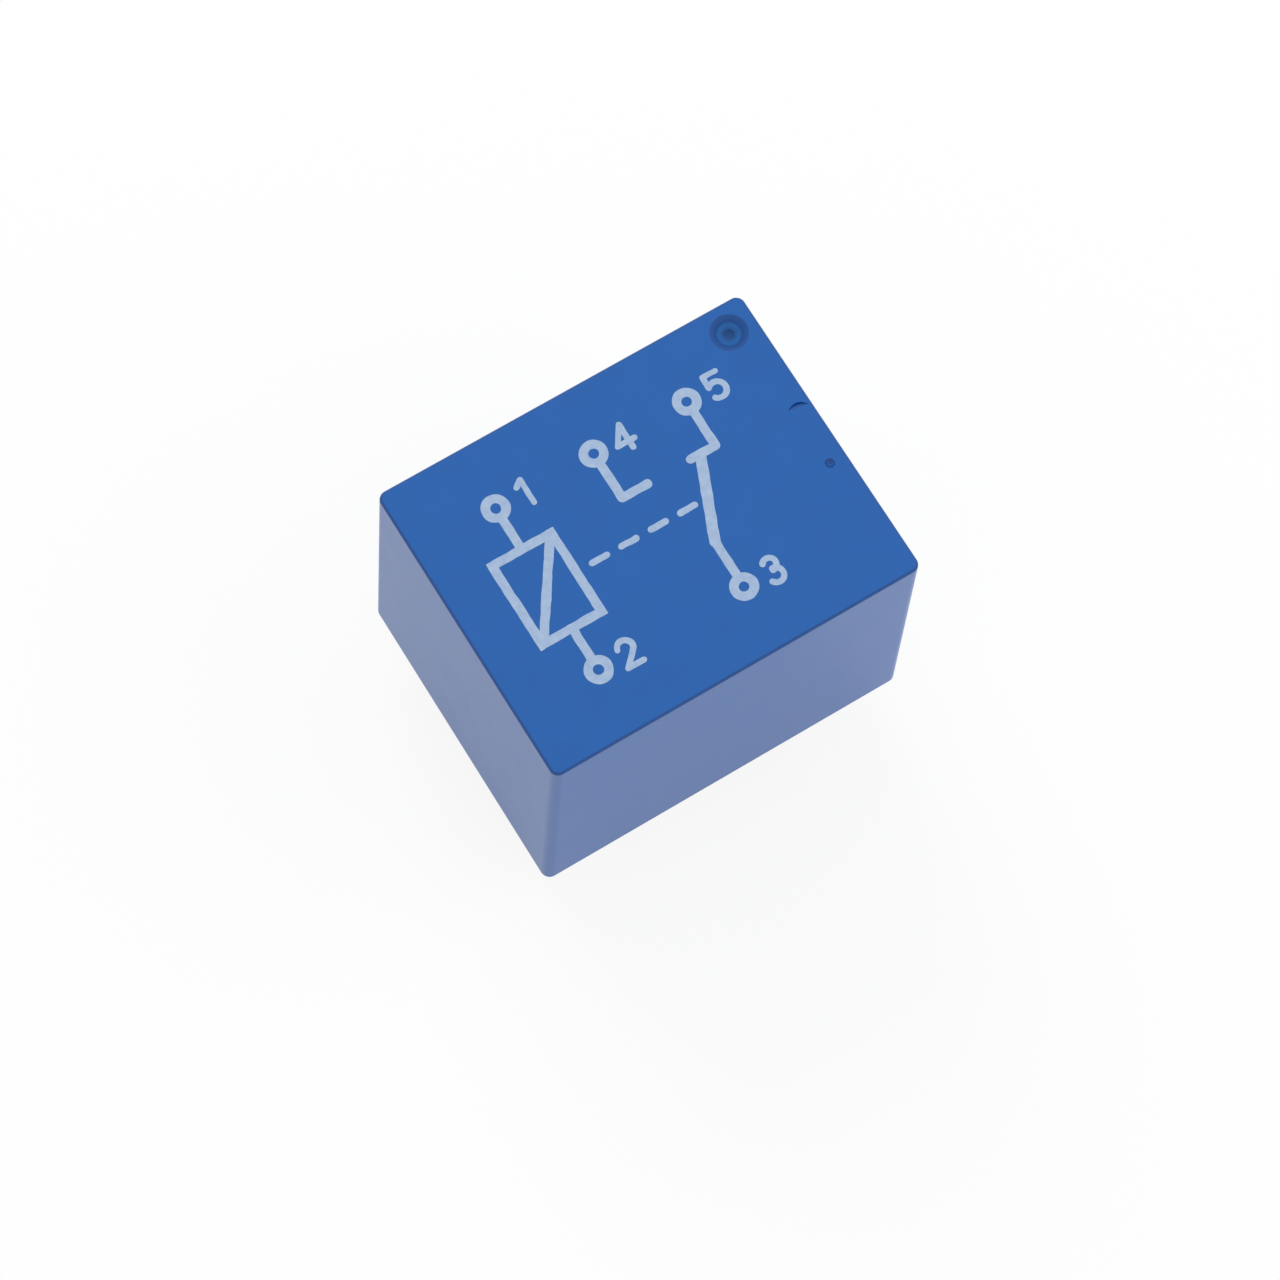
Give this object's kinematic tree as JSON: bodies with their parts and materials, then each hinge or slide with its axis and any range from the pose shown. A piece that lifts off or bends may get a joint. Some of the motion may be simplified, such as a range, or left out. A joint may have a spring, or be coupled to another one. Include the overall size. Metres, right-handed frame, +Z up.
{
  "type": "pcb power relay",
  "caption": "Sealed blue box relay for a circuit board: a coil pulls a hinged armature that moves a changeover contact, with solder pins below.",
  "frame": {"origin": "centre of the rim face under the blue cover, where the relay seats on a board", "axes": "+X along the length towards the contact end, +Y across, +Z up out of the top, pins along -Z"},
  "size_m": [0.0192, 0.0154, 0.0185],
  "materials": {
    "cover_plastic": "satin moulded blue",
    "base_plastic": "moulded dark grey",
    "resin": "poured black resin",
    "bobbin_plastic": "moulded ivory",
    "copper_wire": "enamelled copper wire",
    "plated_iron": "nickel-plated iron",
    "terminal_metal": "tinned copper alloy",
    "contact_metal": "silver alloy",
    "tinned_wire": "tinned copper wire",
    "solder": "solder",
    "spring_metal": "bronze leaf"
  },
  "bodies": {
    "relay": {"case": "cover_plastic", "base": "base_plastic", "sealant": "resin", "bobbin": "bobbin_plastic", "winding": "copper_wire", "core": "plated_iron", "yoke": "plated_iron", "com_terminal": "terminal_metal", "no_terminal": "terminal_metal", "nc_terminal": "terminal_metal", "no_contact": "contact_metal", "nc_contact": "contact_metal", "coil_pin_a": "tinned_wire", "coil_pin_b": "tinned_wire", "coil_solder_a": "solder", "coil_solder_b": "solder"},
    "armature": {"armature_plate": "plated_iron", "moving_spring": "spring_metal", "moving_contact": "contact_metal"}
  },
  "joints": [
    {"name": "armature_hinge", "type": "hinge", "parent": "relay", "child": "armature", "pos_m": [-0.0076, 0, 0.01069], "axis": [0, 1, 0], "range_deg": [0, 2.97], "stiffness_Nm_per_rad": 0.03, "springref_deg": -5.73, "deforming": ["moving_spring"]}
  ]
}
